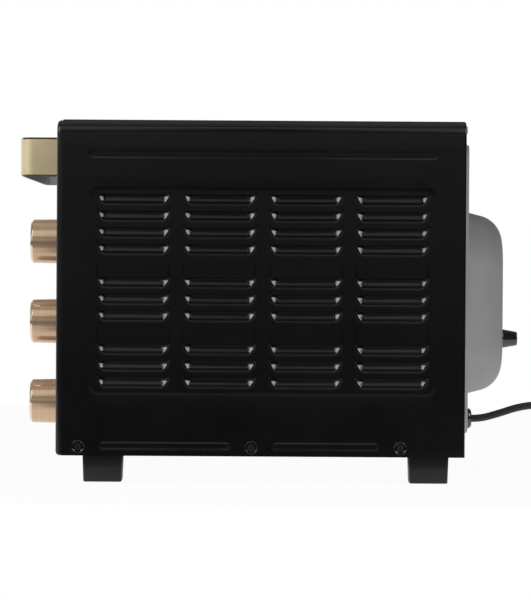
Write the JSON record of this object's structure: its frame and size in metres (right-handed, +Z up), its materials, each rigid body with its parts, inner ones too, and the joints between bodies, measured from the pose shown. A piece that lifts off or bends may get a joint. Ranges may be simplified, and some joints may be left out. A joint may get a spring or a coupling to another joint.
{
  "type": "countertop electric oven",
  "caption": "Countertop electric oven: louvred black steel case, drop-down glass door with strap handle, rotary knobs, domed rear panel, door-drawn wire rack, trays and mains cord.",
  "frame": {"origin": "on the worktop, under the middle of the object's box without the cord", "axes": "+X to the right seen from the front (the control side), +Y to the rear, +Z up"},
  "size_m": [0.51, 0.6695, 0.333],
  "materials": {
    "black_paint": "satin black stove paint",
    "black_front": "semi-gloss black",
    "galvanised": "dull zinc-coated steel",
    "liner_steel": "dull zinc-coated steel",
    "champagne": "satin champagne",
    "rose_gold": "metallised rose gold",
    "black_plastic": "matte black",
    "rubber": "matte black",
    "seal": "matte dark grey silicone",
    "glass": "dark tinted clear glass",
    "chrome_wire": "bright chrome",
    "steel": "bright zinc",
    "pan": "dark non-stick coat",
    "heater": "heat-darkened steel",
    "ceramic": "off-white ceramic",
    "lamp": "clear red lens",
    "bakelite": "brown-black moulding",
    "cord_jacket": "matte black jacket",
    "brass": "plain brass"
  },
  "bodies": {
    "oven_body": {"outer_case": "black_paint", "case_side_screws": "black_paint", "front_frame": "black_front", "control_panel": "black_front", "indicator_lamp": "lamp", "thermostat": "bakelite", "function_switch": "bakelite", "timer": "steel", "control_nuts": "steel", "left_hinge_bracket": "steel", "right_hinge_bracket": "steel", "hinge_pins": "steel", "cavity_liner": "liner_steel", "upper_heaters": "heater", "lower_heaters": "heater", "heater_insulators": "ceramic", "thermostat_bulb": "steel", "bulb_clips": "steel", "left_shelf_rails": "liner_steel", "right_shelf_rails": "liner_steel", "base_plate": "galvanised", "foot_pads": "rubber", "foot_screws": "steel", "rear_panel": "galvanised", "rear_panel_screws": "steel", "left_rear_spacer": "black_plastic", "right_rear_spacer": "black_plastic", "strain_relief": "black_plastic", "power_cord": "cord_jacket", "cord_coil": "cord_jacket", "cord_tie": "black_plastic", "plug_body": "cord_jacket", "plug_pins": "brass", "terminal_block": "ceramic", "wiring": "cord_jacket", "front_left_foot": "black_plastic", "front_right_foot": "black_plastic", "rear_left_foot": "black_plastic", "rear_right_foot": "black_plastic"},
    "door": {"door_glass": "glass", "door_frame": "black_front", "door_bottom_rail": "black_front", "door_seal": "seal", "handle": "champagne", "left_handle_bracket": "black_plastic", "right_handle_bracket": "black_plastic", "handle_screws": "steel", "rack_hooks": "steel"},
    "rack": {"wire_rack": "chrome_wire"},
    "tray": {"baking_tray": "pan"},
    "crumb_drawer": {"crumb_tray": "liner_steel", "crumb_tray_front": "black_front"},
    "temperature_control": {"temperature_knob": "rose_gold", "temperature_shaft": "steel"},
    "function_control": {"function_knob": "rose_gold", "function_shaft": "steel"},
    "timer_control": {"timer_knob": "rose_gold", "timer_shaft": "steel"}
  },
  "joints": [
    {"name": "door_hinge", "type": "hinge", "parent": "oven_body", "child": "door", "pos_m": [-0.0575, -0.1918, 0.0575], "axis": [1, 0, 0], "range_deg": [0, 90], "stiffness_Nm_per_rad": 0.9, "springref_deg": -20.05},
    {"name": "rack_slide", "type": "slide", "parent": "oven_body", "child": "rack", "axis": [0, -1, 0], "range_m": [0, 0.1037]},
    {"name": "tray_lift", "type": "slide", "parent": "rack", "child": "tray", "axis": [0, 0, 1], "range_m": [0, 0.03]},
    {"name": "crumb_tray_slide", "type": "slide", "parent": "oven_body", "child": "crumb_drawer", "axis": [0, -1, 0], "range_m": [0, 0.2]},
    {"name": "temperature_turn", "type": "hinge", "parent": "oven_body", "child": "temperature_control", "pos_m": [0.192, -0.1968, 0.2221], "axis": [0, 1, 0], "range_deg": [0, 280]},
    {"name": "function_turn", "type": "hinge", "parent": "oven_body", "child": "function_control", "pos_m": [0.192, -0.1968, 0.1477], "axis": [0, 1, 0], "range_deg": [0, 240]},
    {"name": "timer_turn", "type": "hinge", "parent": "oven_body", "child": "timer_control", "pos_m": [0.192, -0.1968, 0.0733], "axis": [0, 1, 0], "range_deg": [0, 300]}
  ],
  "couplings": [
    {"joint": "rack_slide", "follows": "door_hinge", "m_per_rad": 0.066}
  ]
}
